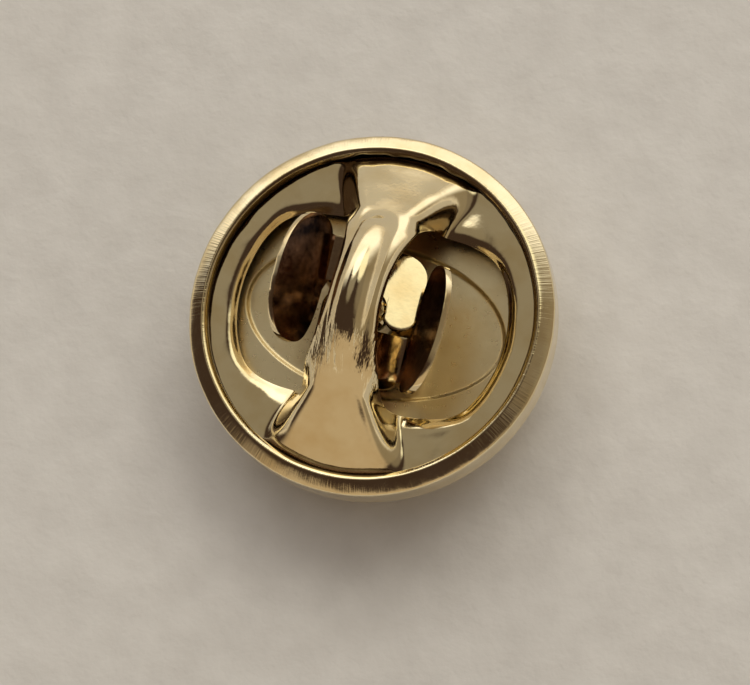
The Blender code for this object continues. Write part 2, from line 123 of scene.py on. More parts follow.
# Cap.
CAP_SHEET = 0.25
CAP_EDGE_ROUNDING = 0.07
CAP_SOFTENING = 10
EDGE_HEIGHT = 1.06
EDGE_RADIUS = LIP_RADIUS - 0.1
WINDOW_RADIUS = 4.3
WINDOW_HALF_LENGTH = 2.9
WINDOW_EDGE_HEIGHT = 1.02
WINDOW_CORNER = 10
WINDOW_ROLL = 0.14
WINDOW_ROLL_REACH = 0.35
WINDOW_ROLL_FADE = 0.2
FOOT_HALF_ANGLE = math.radians(25.5)
FOOT_REACH = 5.15
FOOT_INNER_HALF_WIDTH = 1.15
FOOT_OUTER_HALF_WIDTH = 2.0
FOOT_SPREAD_LENGTH = 1.8
FOOT_SIDE = 1.0
BRIDGE_CROWN = 4.25
BRIDGE_BEND = 2.2
BRIDGE_HALF_WIDTH = 0.72
BRIDGE_END_HALF_WIDTH = 1.28
BRIDGE_SIDE_DROP = 0.42
BRIDGE_END_DROP = 0.3
BRIDGE_NORTH_FLARE = 3
BRIDGE_SOUTH_FLARE = 1.8
BRIDGE_ROUND_SHARE = 0.72
RIB_HALF_WIDTH = 0.52
RIB_HEIGHT = 0.3
RIB_NORTH_END = 2.75
RIB_NORTH_FADE = 0.6
RIB_SOUTH_END = 2.5
RIB_SOUTH_FADE = 1.7
FOOT_COLUMNS = 48
WINDOW_COLUMNS = 110
FLANGE_ROWS = 26
BRIDGE_ROWS = 110

# Clip.
CLIP_SHEET = 0.22
EAR_SHEET = 0.19
CLIP_EDGE_ROUNDING = 0.05
HINGE_X = 1.5
HINGE_HEIGHT = 0.62
RISER_INNER_Y = 0.62
RISER_OUTER_Y = 2.05
RISER_FOOT = 0.08
RISER_OUTSIDE = 0.02
WING_BASE_HEIGHT = 1.75
WING_TOP_HEIGHT = 3.45
WING_LEAN = math.radians(32)
WING_BEND_LENGTH = 0.25
WING_BEND_START = -0.3
WING_BEND_END = 0.5
WING_HALF_WIDTH = 2.05
WING_SHIFT = 0.38
WING_ROUNDNESS = 2.6
WING_CURL = 0.15
WING_FIRST_TURN = -0.99
WING_LAST_TURN = 0.95
RISER_ROWS = 10
WING_ROWS = 44
WING_COLUMNS = 16
ARM_HEIGHT = 1.9
ARM_FALL_OUT = 0.13
ARM_FALL_ALONG = 0.3
ARM_ROOT_RISE = 0.2
ARM_ROOT_END = -0.8
ARM_INNER_Y = 0.62
ARM_INNER_END = 0.1
ARM_OUTER_Y = 2.0
ARM_CORNER = 0.8
ARM_STEPS = 20
ARM_ROWS = 22
JAW_RADIUS = 0.58
JAW_START = 75
JAW_END = -18
TONGUE_X = 0.98
TONGUE_END_Y = 0.08
TONGUE_RADIUS = 0.5
TONGUE_START = 212
ARC_STEPS = 24

# Unevenness of hand-finished metal: each wave is its height in millimetres, its scale and its seed.
LIP_WAVE = (0.02, 3.0, 7)
LIP_CRIMPS = (0.08, 14.0, 3)
RIM_WAVES = ((0.012, 0.7, 11), (0.004, 3.0, 5))
SHEET_WAVES = ((0.03, 0.9, 2), (0.014, 2.2, 4), (0.004, 4, 6))
FOOT_WAVE = (0.015, 1.6, 9)
WING_WAVE = (0.01, 1.1, 4)
FOOT_WAVE_Y = (1.6, 3.2)
FOOT_WAVE_X = (3.4, 1.6)
CALM_SHARE = 0.6
CALM_X = (1.6, 0.8)

# Soft swellings of the flange, each as its place, its spread and its height.
FLANGE_SWELLINGS = (
    (2.3, 2.9, 0.65, 0.16),
    (-1.9, -3.5, 0.35, 0.08),
    (2.6, -3.0, 0.5, 0.1),
    (-3.9, 1.6, 0.5, 0.07),
)

# Colours, each plating and enamel with the deeper tone of its stains or clouds, and two painted shades: the
# dark inside gold and the lip's shade.
GOLD = ((0.88, 0.76, 0.50), (0.80, 0.65, 0.38))
CLIP_GOLD = ((0.88, 0.75, 0.48), (0.80, 0.62, 0.35))
# Painted shade: dark brown to near black on the sheets' hidden sides, the cap's underside and the wings'
# inner faces, standing in for the shade there.
INSIDE_SHADE_GOLD = ((0.30, 0.16, 0.09), (0.02, 0.014, 0.014))
SOLDER = ((0.62, 0.60, 0.55), (0.42, 0.40, 0.36))
YELLOW = ((0.83, 0.50, 0.05), (0.70, 0.36, 0.03))
WHITE = ((0.84, 0.82, 0.76), (0.74, 0.71, 0.63))
BLUE = ((0.02, 0.09, 0.28), (0.01, 0.05, 0.18))
PAPER = ((0.62, 0.588, 0.548), (0.68, 0.648, 0.606))
# Painted shade: the near-black laid into the cup's groove under the rolled lip.
LIP_SHADE = (0.07, 0.045, 0.03)

# Surface marks: where the painted shade in the cup's groove under the lip starts and ends along its section,
# and where the bridge is wrinkled.
GROOVE_START = (0.26, 0.28)
GROOVE_END = (0.42, 0.45)
WRINKLE_START = (-0.9 * MM, -1.3 * MM)
WRINKLE_END = (-2.9 * MM, -2.3 * MM)
WRINKLE_SIDE = (1.6 * MM, 0.9 * MM)
RIM_MARKS_START = (LIP_RADIUS * MM, CREST_RADIUS * MM)
FLOOR_DULLNESS_START = (LIP_RADIUS * MM, 4.9 * MM)
FLOOR_DULLNESS = 0.2
CAD_EDGE_ROUNDING = 0.03

# The room, as lobes of light: direction, where the lobe starts and is full, and its colour.
DARK_ROOM = (0.05, 0.032, 0.024)
LIT_PAPER = (0.74, 0.66, 0.55)
PAPER_HORIZON = (0.02, 0.14)
CEILING_START = (0.45, 0.57)
WALL_LOBES = (
    (-NORTH, 0.3, 0.7, (0.52, 0.41, 0.28)),
    (EAST, 0.5, 0.8, (0.28, 0.23, 0.16)),
    (NORTH, 0.35, 0.75, (1.35, 1.3, 1.2)),
)
CEILING_LOBES = (
    (UP + NORTH * 0.38 - EAST * 0.24, 0.895, 0.97, (0.28, 0.245, 0.19)),
    (EAST + UP * 0.7, 0.84, 0.97, (0.22, 0.18, 0.13)),
    (NORTH - EAST * 0.15 + UP * 0.75, 0.89, 0.95, (1.8, 1.75, 1.6)),
    (NORTH * 0.75 + EAST * 0.65 + UP, 0.92, 0.98, (1.25, 1.2, 0.95)),
)
PAPER_HALF_SIZE = 0.6
PAPER_HEIGHT = -0.02 * MM


def smooth_step(low, high, value):
    """0 at low, 1 at high, and a smooth rise between them."""
    share = min(1.0, max(0.0, (value - low) / (high - low)))
    return share * share * (3 - 2 * share)


def mix(first, second, share):
    """The value that lies this share of the way from first to second."""
    return first + (second - first) * share


def wave(kind, x, y, z=0.0):
    """Smooth noise at a place in millimetres."""
    height, scale, seed = kind
    return height * noise.noise(Vector((x * scale + seed, y * scale, z * scale - seed)))


# ---------------------------------------------------------------- materials


def new_material(name):
    """A new material with its nodes and links."""
    material = bpy.data.materials.new(name)
    material.use_nodes = True
    return material, material.node_tree.nodes, material.node_tree.links


def noise_node(nodes, links, source, scale, detail, stretch=(1, 1, 1)):
    """Noise at the places that source gives."""
    mapping = nodes.new("ShaderNodeMapping")
    mapping.inputs["Scale"].default_value = stretch
    links.new(source, mapping.inputs["Vector"])
    texture = nodes.new("ShaderNodeTexNoise")
    texture.inputs["Scale"].default_value = scale
    texture.inputs["Detail"].default_value = detail
    links.new(mapping.outputs["Vector"], texture.inputs["Vector"])
    return texture.outputs["Fac"]


def range_node(nodes, links, value, before, after=(0.0, 1.0)):
    """Carries the range before over to the range after, clamped at both ends."""
    spread = nodes.new("ShaderNodeMapRange")
    spread.inputs["From Min"].default_value = before[0]
    spread.inputs["From Max"].default_value = before[1]
    spread.inputs["To Min"].default_value = after[0]
    spread.inputs["To Max"].default_value = after[1]
    links.new(value, spread.inputs["Value"])
    return spread.outputs["Result"]


def colour_mix(nodes, links, share, first, second):
    """Blends two colours, each a tuple or another node's output."""
    blend = nodes.new("ShaderNodeMix")
    blend.data_type = "RGBA"
    links.new(share, blend.inputs["Factor"])
    for index, colour in ((6, first), (7, second)):
        if isinstance(colour, tuple):
            blend.inputs[index].default_value = (*colour, 1)
        else:
            links.new(colour, blend.inputs[index])
    return blend.outputs[2]


def bump_node(nodes, links, height, distance, strength=1.0, below=None):
    """A bump of the given depth in metres, on top of the one below."""
    bump = nodes.new("ShaderNodeBump")
    bump.inputs["Distance"].default_value = distance
    bump.inputs["Strength"].default_value = strength
    links.new(height, bump.inputs["Height"])
    if below:
        links.new(below, bump.inputs["Normal"])
    return bump.outputs["Normal"]


def math_node(nodes, links, operation, *values):
    """One sum, product or absolute value of other nodes' outputs."""
    result = nodes.new("ShaderNodeMath")
    result.operation = operation
    for index, value in enumerate(values):
        links.new(value, result.inputs[index])
    return result.outputs["Value"]


def split_node(nodes, links, place):
    """The separate coordinates of a place."""
    split = nodes.new("ShaderNodeSeparateXYZ")
    links.new(place, split.inputs[0])
    return split.outputs


def axis_distance(nodes, links, place):
    """A place's distance from the post's axis."""
    across = nodes.new("ShaderNodeVectorMath")
    across.operation = "MULTIPLY"
    across.inputs[1].default_value = (1, 1, 0)
    links.new(place, across.inputs[0])
    reach = nodes.new("ShaderNodeVectorMath")
    reach.operation = "LENGTH"
    links.new(across.outputs["Vector"], reach.inputs[0])
    return reach.outputs["Value"]


def lip_shade_mask(nodes, links, uv):
    """One in the cup's groove under the rolled lip, where shade is painted in, and nought elsewhere."""
    along = split_node(nodes, links, uv)["Y"]
    begin = range_node(nodes, links, along, GROOVE_START)
    end = range_node(nodes, links, along, GROOVE_END, (1.0, 0.0))
    return math_node(nodes, links, "MULTIPLY", begin, end)


def wrinkle_height(nodes, links, place):
    """Fine wrinkles along the bridge, at the south end of its rib only."""
    split = split_node(nodes, links, place)
    height = noise_node(nodes, links, place, scale=1.0, detail=3, stretch=(6000, 1000, 1000))
    aside = math_node(nodes, links, "ABSOLUTE", split["X"])
    for value, limits in ((split["Y"], WRINKLE_START), (split["Y"], WRINKLE_END), (aside, WRINKLE_SIDE)):
        height = math_node(nodes, links, "MULTIPLY", height, range_node(nodes, links, value, limits))
    return height


def rolling_marks(nodes, links, uv, reach):
    """The fine radial marks of the rolling tool, on the rim only."""
    marks = noise_node(nodes, links, uv, scale=1.0, detail=2, stretch=(700, 5, 1))
    return math_node(nodes, links, "MULTIPLY", marks, range_node(nodes, links, reach, RIM_MARKS_START))


def gold_material(name, colours, roughness, rolled=False, wrinkled=False):
    """Bright plating with polishing grain and faint stains; rolled for the cup, with painted shade in the
    groove under its lip, and wrinkled for the cap.
    """
    material, nodes, links = new_material(name)
    shader = nodes["Principled BSDF"]
    shader.inputs["Metallic"].default_value = 1.0
    place = nodes.new("ShaderNodeTexCoord").outputs
    spots = noise_node(nodes, links, place["Object"], scale=900, detail=4)
    plating = colour_mix(nodes, links, range_node(nodes, links, spots, (0.42, 0.7)), *colours)
    grain = noise_node(nodes, links, place["Object"], scale=6000, detail=3)
    rough = range_node(nodes, links, grain, (0.3, 0.75), (roughness * 0.75, roughness * 1.6))
    normal = bump_node(nodes, links, grain, distance=0.000002)
    if wrinkled:
        wrinkles = wrinkle_height(nodes, links, place["Object"])
        normal = bump_node(nodes, links, wrinkles, distance=0.00007, below=normal)
    if rolled:
        # Painted shade: the groove under the lip is darkened to near black.
        plating = colour_mix(nodes, links, lip_shade_mask(nodes, links, place["UV"]), plating, LIP_SHADE)
        reach = axis_distance(nodes, links, place["Object"])
        duller = range_node(nodes, links, reach, FLOOR_DULLNESS_START, (0.0, FLOOR_DULLNESS))
        rough = math_node(nodes, links, "ADD", rough, duller)
        marks = rolling_marks(nodes, links, place["UV"], reach)
        normal = bump_node(nodes, links, marks, distance=0.000012, strength=0.7, below=normal)
    links.new(plating, shader.inputs["Base Color"])
    links.new(rough, shader.inputs["Roughness"])
    links.new(normal, shader.inputs["Normal"])
    return material


def enamel_material(name, colours):
    """Fired enamel: an even gloss with faint cloudiness, and the slight ripple that polishing leaves."""
    material, nodes, links = new_material(name)
    shader = nodes["Principled BSDF"]
    shader.inputs["Coat Weight"].default_value = 0.6
    shader.inputs["Coat Roughness"].default_value = 0.05
    place = nodes.new("ShaderNodeTexCoord").outputs["Object"]
    clouds = noise_node(nodes, links, place, scale=1500, detail=4)
    colour = colour_mix(nodes, links, range_node(nodes, links, clouds, (0.35, 0.7)), *colours)
    ripple = noise_node(nodes, links, place, scale=700, detail=2)
    links.new(colour, shader.inputs["Base Color"])
    links.new(range_node(nodes, links, clouds, (0.3, 0.7), (0.1, 0.22)), shader.inputs["Roughness"])
    links.new(bump_node(nodes, links, ripple, distance=0.000008), shader.inputs["Normal"])
    return material


def paper_material():
    """Pale, soft paper with a slight tooth."""
    material, nodes, links = new_material("paper")
    shader = nodes["Principled BSDF"]
    shader.inputs["Roughness"].default_value = 0.85
    place = nodes.new("ShaderNodeTexCoord").outputs["Object"]
    soft = noise_node(nodes, links, place, scale=700, detail=5)
    fine = noise_node(nodes, links, place, scale=4000, detail=3)
    colour = colour_mix(nodes, links, range_node(nodes, links, soft, (0.3, 0.7)), *PAPER)
    tooth = bump_node(nodes, links, soft, distance=0.00012, strength=0.6)
    tooth = bump_node(nodes, links, fine, distance=0.00002, strength=0.6, below=tooth)
    links.new(colour, shader.inputs["Base Color"])
    links.new(tooth, shader.inputs["Normal"])
    return material


def paint(node, material):
    """Gives a CAD node its look."""
    node.data.materials.clear()
    node.data.materials.append(material)


def paint_cad_nodes(enamels, metals):
    """Paints the nodes that are shown as they are, and breaks the metal ones' sharp edges."""
    for name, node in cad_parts.items():
        if name.startswith("enamel"):
            paint(node, enamels[node.data.materials[0].name.split(".")[0]])
    for name, material in metals.items():
        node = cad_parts[name]
        paint(node, material)
        edge = node.modifiers.new("edge", "BEVEL")
        edge.width = CAD_EDGE_ROUNDING * MM
        edge.segments = 2
        edge.limit_method = "ANGLE"


# ---------------------------------------------------------------- geometry


def put(name, points, faces, material, body, replaces=()):
    """A piece from points in millimetres in the clutch's frame."""
    mesh = bpy.data.meshes.new(name)
    mesh.from_pydata([(x * MM, y * MM, (z + CLUTCH_Z) * MM) for x, y, z in points], [], faces)
    mesh.materials.append(material)
    piece = bpy.data.objects.new(name, mesh)
    bpy.context.scene.collection.objects.link(piece)
    mesh.shade_smooth()
    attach(piece, body)
    if replaces:
        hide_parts(*replaces)
    return piece


def add_sheet(piece, thickness, edge, inside=None):
    """Gives a surface its thickness, with the material inside on the side that its faces turn away from."""
    solid = piece.modifiers.new("sheet", "SOLIDIFY")
    solid.thickness = thickness * MM
    solid.offset = 0.0
    if inside:
        piece.data.materials.append(inside)
        solid.material_offset = 1
    bevel = piece.modifiers.new("edge", "BEVEL")
    bevel.width = edge * MM
    bevel.segments = 3
    bevel.limit_method = "ANGLE"
    bevel.angle_limit = math.radians(50)


def oval(half_length, half_width, height):
    """One ring of points."""
    angles = [2 * math.pi * step / COLUMNS for step in range(COLUMNS)]
    return np.array([(half_length * math.cos(a), half_width * math.sin(a), height) for a in angles])


def round_rings(section):
    """A ring for each (radius, height) of a section."""
    return [oval(radius, radius, height) for radius, height in section]


def dish_rings(section):
    """A ring for each (distance inside the dish's outline, height) of a section."""
    return [oval(DISH_HALF_LENGTH - shrink, DISH_HALF_WIDTH - shrink, height) for shrink, height in section]


def softened(rings, rounds):
    """Rounds the corners of a closed profile of rings by cutting them again and again."""
    for _ in range(rounds):
        following = np.roll(rings, -1, axis=0)
        halves = np.stack((rings * 0.75 + following * 0.25, rings * 0.25 + following * 0.75), axis=1)
        rings = halves.reshape(-1, *rings.shape[1:])
    return rings


def lip_wander(angle):
    """How far the rolled lip's edge wanders from its circle, most of all over the bridge's north foot."""
    x, y = math.cos(angle), math.sin(angle)
    north = math.cos(angle - math.pi / 2) ** 8 if y > 0 else 0.0
    return wave(LIP_WAVE, x, y) + north * wave(LIP_CRIMPS, x, y)


def rim_wander(x, y, z):
    """How far the cup's outer part wanders from round."""
    share = smooth_step(RIM_WANDER_START, RIM_WANDER_FULL, math.hypot(x, y))
    return share * sum(wave(kind, x, y, z) for kind in RIM_WAVES)


def cup_rings():
    """The cup's section carried round the post's axis, with a slightly uneven lip."""
    rings = np.array(
        round_rings(HOLE_TOP)
        + dish_rings(DISH_EDGE_ABOVE)
        + round_rings(FLOOR_CORNER + LIP_UNDERSIDE + RIM_ROLL + HEEL)
        + dish_rings(DISH_EDGE_BELOW)
        + round_rings(HOLE_UNDER)
    )
    for column in range(COLUMNS):
        shift = lip_wander(2 * math.pi * column / COLUMNS)
        for row in LIP_ROWS:
            rings[row][column][:2] *= 1 + shift / LIP_RADIUS
    return softened(rings, CUP_SOFTENING)


def wrap_uv(piece, count):
    """Texture places on a skin of count rings: across runs round the axis, down runs along the section."""
    uv = piece.data.uv_layers.new(name="turn")
    for polygon in piece.data.polygons:
        row, column = divmod(polygon.index, COLUMNS)
        corners = ((0, 0), (1, 0), (1, 1), (0, 1))
        for loop, (across, down) in zip(polygon.loop_indices, corners):
            uv.data[loop].uv = ((column + across) / COLUMNS, (row + down) / count)


def build_cup(material):
    """The cup: a floor with an oval dish and the post's hole, a wall, and the rim rolled over the cap."""
    rings = cup_rings()
    points, faces = [], []
    for ring in rings:
        for x, y, z in ring:
            grow = rim_wander(x, y, z)
            swell = 1 + grow / math.hypot(x, y)
            points.append((x * swell, y * swell, z + grow * 0.5))
    count = len(rings)
    for row in range(count):
        here, there = row * COLUMNS, (row + 1) % count * COLUMNS
        for column in range(COLUMNS):
            after = (column + 1) % COLUMNS
            faces.append((here + column, here + after, there + after, there + column))
    cup = put("cup", points, faces, material, "clutch", ("clutch_base",))
    wrap_uv(cup, count)


def crown_height(y):
    """An arch along the bridge's middle that runs on as straight feet down to the flange's edge."""
    arch = min(abs(y), BRIDGE_BEND)
    roundness = (BRIDGE_CROWN - EDGE_HEIGHT) / (2 * BRIDGE_BEND * FOOT_REACH - BRIDGE_BEND**2)
    foot = 2 * roundness * BRIDGE_BEND * max(0.0, abs(y) - BRIDGE_BEND)
    return BRIDGE_CROWN - roundness * arch * arch - foot


def flange_height(x, y):
    """Height of the cap outside the bridge: a shallow dish, raised to the bridge's feet."""
    radius = math.hypot(x, y)
    ring = mix(WINDOW_EDGE_HEIGHT, EDGE_HEIGHT, smooth_step(WINDOW_RADIUS, EDGE_RADIUS, radius))
    out = smooth_step(WINDOW_HALF_LENGTH, FOOT_REACH, abs(y))
    spread = max(0.0, (abs(y) - WINDOW_HALF_LENGTH) / FOOT_SPREAD_LENGTH)
    wide = mix(FOOT_INNER_HALF_WIDTH, FOOT_OUTER_HALF_WIDTH, spread)
    over = 1 - smooth_step(wide - FOOT_SIDE / 2, wide + FOOT_SIDE / 2, abs(x))
    outwards = mix(abs(y), radius, out)
    return mix(ring, max(ring, crown_height(outwards)), over)


def swelling(x, y, at_x, at_y, spread, height):
    """One soft round swelling."""
    return height * math.exp(-((x - at_x) ** 2 + (y - at_y) ** 2) / (2 * spread**2))


def cap_wander(x, y):
    """The pressed sheet is never quite smooth, least of all round the feet."""
    swell = sum(swelling(x, y, *each) for each in FLANGE_SWELLINGS)
    loose = sum(wave(kind, x, y) for kind in SHEET_WAVES)
    calm = CALM_SHARE * smooth_step(*CALM_X, abs(x))
    foot = smooth_step(*FOOT_WAVE_Y, abs(y)) * smooth_step(*FOOT_WAVE_X, abs(x))
    return swell + loose * (1 - calm) + foot * wave(FOOT_WAVE, x, y)


def window_reach(angle):
    """Distance from the centre to the windows' outline, a circle cut off at both ends with round corners."""
    across = WINDOW_HALF_LENGTH / max(1e-6, abs(math.sin(angle)))
    return (WINDOW_RADIUS**-WINDOW_CORNER + across**-WINDOW_CORNER) ** (-1 / WINDOW_CORNER)


def flange_columns():
    """For each column round the flange: its inner and outer point, and how far its inner edge rolls down."""
    foot_inner = math.atan2(WINDOW_HALF_LENGTH, BRIDGE_END_HALF_WIDTH)
    foot_outer = math.pi / 2 - FOOT_HALF_ANGLE
    columns = []
    for side in (1, -1):
        for step in range(FOOT_COLUMNS):
            share = 1 - 2 * step / FOOT_COLUMNS
            inner = (share * BRIDGE_END_HALF_WIDTH, WINDOW_HALF_LENGTH)
            columns.append((inner, math.pi / 2 - share * FOOT_HALF_ANGLE, side, 0.0))
        for step in range(WINDOW_COLUMNS):
            share = 2 * step / WINDOW_COLUMNS - 1
            around = math.pi + share * foot_inner
            reach = window_reach(around)
            inner = (reach * math.cos(around), reach * math.sin(around))
            roll = WINDOW_ROLL * smooth_step(0.0, WINDOW_ROLL_FADE, 1 - abs(share))
            columns.append((inner, math.pi + share * foot_outer, side, roll))
    placed = []
    for (x, y), angle, side, roll in columns:
        outer = (side * CAP_RADIUS * math.cos(angle), side * CAP_RADIUS * math.sin(angle))
        placed.append(((side * x, side * y), outer, roll))
    return placed


def rib_height(x, y):
    """How far the rib stands above the bridge."""
    end, fade = (RIB_NORTH_END, RIB_NORTH_FADE) if y > 0 else (RIB_SOUTH_END, RIB_SOUTH_FADE)
    along = 1 - smooth_step(end - fade, end, abs(y))
    across = max(0.0, 1 - (x / RIB_HALF_WIDTH) ** 2)
    return RIB_HEIGHT * along * across


def bridge_point(y, share):
    """A point of the bridge's middle surface: share runs from -1 to 1 across it."""
    run = (abs(y) / WINDOW_HALF_LENGTH) ** (BRIDGE_NORTH_FLARE if y > 0 else BRIDGE_SOUTH_FLARE)
    half_width = mix(BRIDGE_HALF_WIDTH, BRIDGE_END_HALF_WIDTH, run)
    turn = share * math.pi / 2
    blend = smooth_step(BRIDGE_ROUND_SHARE, 1.0, abs(y) / WINDOW_HALF_LENGTH)
    x = half_width * mix(math.sin(turn), share, blend)
    arched = crown_height(y) - mix(BRIDGE_SIDE_DROP, BRIDGE_END_DROP, run) * (1 - math.cos(turn))
    z = mix(arched, flange_height(x, y), blend)
    return x, y, z + rib_height(x, y) + cap_wander(x, y)


def flange_mesh():
    """Points and faces of the cap's flange, rows running outwards."""
    columns = flange_columns()
    count = len(columns)
    points, faces = [], []
    for row in range(FLANGE_ROWS + 1):
        share = row / FLANGE_ROWS
        rolled = (1 - smooth_step(0.0, WINDOW_ROLL_REACH, share)) ** 2
        for inner, outer, roll in columns:
            x, y = mix(inner[0], outer[0], share), mix(inner[1], outer[1], share)
            height = flange_height(x, y) + rib_height(x, y) + cap_wander(x, y)
            points.append((x, y, height - roll * rolled))
    for row in range(FLANGE_ROWS):
        for step in range(count):
            here, after = row * count + step, row * count + (step + 1) % count
            faces.append((here, here + count, after + count, after))
    return points, faces


def add_bridge(points, faces):
    """Adds the bridge's rows between the flange's two feet."""
    south = FOOT_COLUMNS + WINDOW_COLUMNS
    rows = [list(range(FOOT_COLUMNS + 1))]
    for row in range(1, BRIDGE_ROWS):
        y = WINDOW_HALF_LENGTH * (1 - 2 * row / BRIDGE_ROWS)
        rows.append([len(points) + step for step in range(FOOT_COLUMNS + 1)])
        points += [bridge_point(y, 1 - 2 * step / FOOT_COLUMNS) for step in range(FOOT_COLUMNS + 1)]
    rows.append([south + FOOT_COLUMNS - step for step in range(FOOT_COLUMNS + 1)])
    for upper, lower in zip(rows, rows[1:]):
        for step in range(FOOT_COLUMNS):
            faces.append((upper[step], upper[step + 1], lower[step + 1], lower[step]))


def build_cap(material, inside):
    """The cap: one pressed sheet with a flange, two windows and the ribbed bridge between them."""
    points, faces = flange_mesh()
    add_bridge(points, faces)
    cap = put("cap", points, faces, material, "clutch", ("clutch_cap",))
    soften = cap.modifiers.new("soften", "SMOOTH")
    soften.factor = 0.5
    soften.iterations = CAP_SOFTENING
    add_sheet(cap, CAP_SHEET, CAP_EDGE_ROUNDING, inside)


def wing_row(height):
    """(x, low y, high y) of the left wing's sheet at a height, x and height counted from its hinge line."""
    base, top = WING_BASE_HEIGHT - HINGE_HEIGHT, WING_TOP_HEIGHT - HINGE_HEIGHT
    rise = max(0.0, height - base + WING_BEND_LENGTH)
    bend = smooth_step(WING_BEND_START, WING_BEND_END, rise)
    x = -math.tan(WING_LEAN) * rise * bend - RISER_OUTSIDE
    share = abs(2 * (height - base) / (top - base) - 1)
    half_width = WING_HALF_WIDTH * max(0.0, 1 - share**WING_ROUNDNESS) ** (1 / WING_ROUNDNESS)
    if height <= base or half_width == 0:
        return x, RISER_INNER_Y, RISER_OUTER_Y
    low, high = WING_SHIFT - half_width, WING_SHIFT + half_width
    if height < (base + top) / 2:
        low, high = min(low, RISER_INNER_Y), max(high, RISER_OUTER_Y)
    return x, low, high


def wing_sheet():
    """Points and faces of the left wing's middle surface: a narrow riser, and the round wing on top of it."""
    base, top = WING_BASE_HEIGHT - HINGE_HEIGHT, WING_TOP_HEIGHT - HINGE_HEIGHT
    heights = [mix(RISER_FOOT, base, row / RISER_ROWS) for row in range(RISER_ROWS)]
    for row in range(WING_ROWS + 1):
        turn = mix(WING_FIRST_TURN, WING_LAST_TURN, row / WING_ROWS) * math.pi / 2
        heights.append((base + top) / 2 + (top - base) / 2 * math.sin(turn))
    points, faces = [], []
    for height in heights:
        x, low, high = wing_row(height)
        for column in range(WING_COLUMNS + 1):
            y = mix(low, high, column / WING_COLUMNS)
            curl = WING_CURL * ((y - WING_SHIFT) / WING_HALF_WIDTH) ** 2 if height > base else 0.0
            points.append((x + curl + wave(WING_WAVE, x, y, height), y, height))
    width = WING_COLUMNS + 1
    for row in range(len(heights) - 1):
        for column in range(WING_COLUMNS):
            here = row * width + column
            faces.append((here, here + width, here + 1 + width, here + 1))
    return points, faces


def arc(centre, radius, start, end):
    """Points along an arc, angles in degrees, both ends included."""
    turns = [math.radians(mix(start, end, step / ARC_STEPS)) for step in range(ARC_STEPS + 1)]
    return [(centre[0] + radius * math.cos(a), centre[1] + radius * math.sin(a)) for a in turns]


def arm_edges():
    """The left arm's two long edges from above: the inner one has the jaw's notch and the tongue."""
    straight = [mix(-HINGE_X, ARM_INNER_END, step / ARM_STEPS) for step in range(ARM_STEPS + 1)]
    inner = [(x, ARM_INNER_Y) for x in straight]
    inner += arc((0, 0), JAW_RADIUS, JAW_START, JAW_END)
    inner += arc((TONGUE_X, TONGUE_END_Y), TONGUE_RADIUS, TONGUE_START, 360)
    far = TONGUE_X + TONGUE_RADIUS
    outer = []
    for step in range(len(inner)):
        x = mix(-HINGE_X, far, step / (len(inner) - 1))
        into_corner = max(0.0, x - (far - ARM_CORNER)) / ARM_CORNER
        drop = ARM_CORNER * (1 - math.sqrt(max(0.0, 1 - into_corner * into_corner)))
        outer.append((x, ARM_OUTER_Y - drop))
    return inner, outer


def arm_sheet(side):
    """Points and faces of an arm's middle surface, which tips down outwards and towards its tongue."""
    inner, outer = arm_edges()
    points, faces = [], []
    for row in range(ARM_ROWS + 1):
        for (x0, y0), (x1, y1) in zip(inner, outer):
            x, y = mix(x0, x1, row / ARM_ROWS), mix(y0, y1, row / ARM_ROWS)
            root = side * ARM_ROOT_RISE * (ARM_INNER_Y - y)
            fall = ARM_FALL_OUT * y + ARM_FALL_ALONG * max(0.0, x)
            points.append((x, y, ARM_HEIGHT - mix(root, fall, smooth_step(ARM_ROOT_END, ARM_INNER_END, x))))
    width = len(inner)
    for row in range(ARM_ROWS):
        for step in range(width - 1):
            here = row * width + step
            faces.append((here, here + 1, here + 1 + width, here + width))
    return points, faces


def build_wing(material, inside, body, side):
    """One wing and its crossing arm, the right one being the left one turned half round."""
    def placed(points):
        return [(side * x, side * y, z) for x, y, z in points]

    sheet_points, faces = wing_sheet()
    sheet_points = [(x - HINGE_X, y, z + HINGE_HEIGHT) for x, y, z in sheet_points]
    wing = put(f"{body}_ear", placed(sheet_points), faces, material, body, (body,))
    add_sheet(wing, EAR_SHEET, CLIP_EDGE_ROUNDING, inside)
    arm_points, faces = arm_sheet(side)
    arm = put(f"{body}_arm", placed(arm_points), faces, material, body)
    add_sheet(arm, CLIP_SHEET, CLIP_EDGE_ROUNDING)


# ---------------------------------------------------------------- stage


def add_camera():
    """A long lens above the pin, moved a little towards the south-east."""
    lean = math.tan(CAMERA_TILT)
    away = EAST * lean * math.sin(CAMERA_FROM_SOUTH) - NORTH * lean * math.cos(CAMERA_FROM_SOUTH) + UP
    away.normalize()
    target = Vector((0, 0, CLUTCH_Z * MM)) + EAST * AIM_EAST + NORTH * AIM_NORTH + UP * AIM_HEIGHT
    camera = bpy.data.objects.new("camera", bpy.data.cameras.new("camera"))
    bpy.context.scene.collection.objects.link(camera)
    bpy.context.scene.camera = camera
    right = NORTH.cross(away).normalized()
    turn = Matrix((right, away.cross(right), away)).transposed()
    camera.matrix_world = Matrix.Translation(target + away * CAMERA_DISTANCE) @ turn.to_4x4()
    camera.data.sensor_width = FILM_WIDTH
    camera.data.lens = FILM_WIDTH * CAMERA_DISTANCE / VIEW_WIDTH
    camera.data.clip_start = 0.001
    camera.data.clip_end = 10


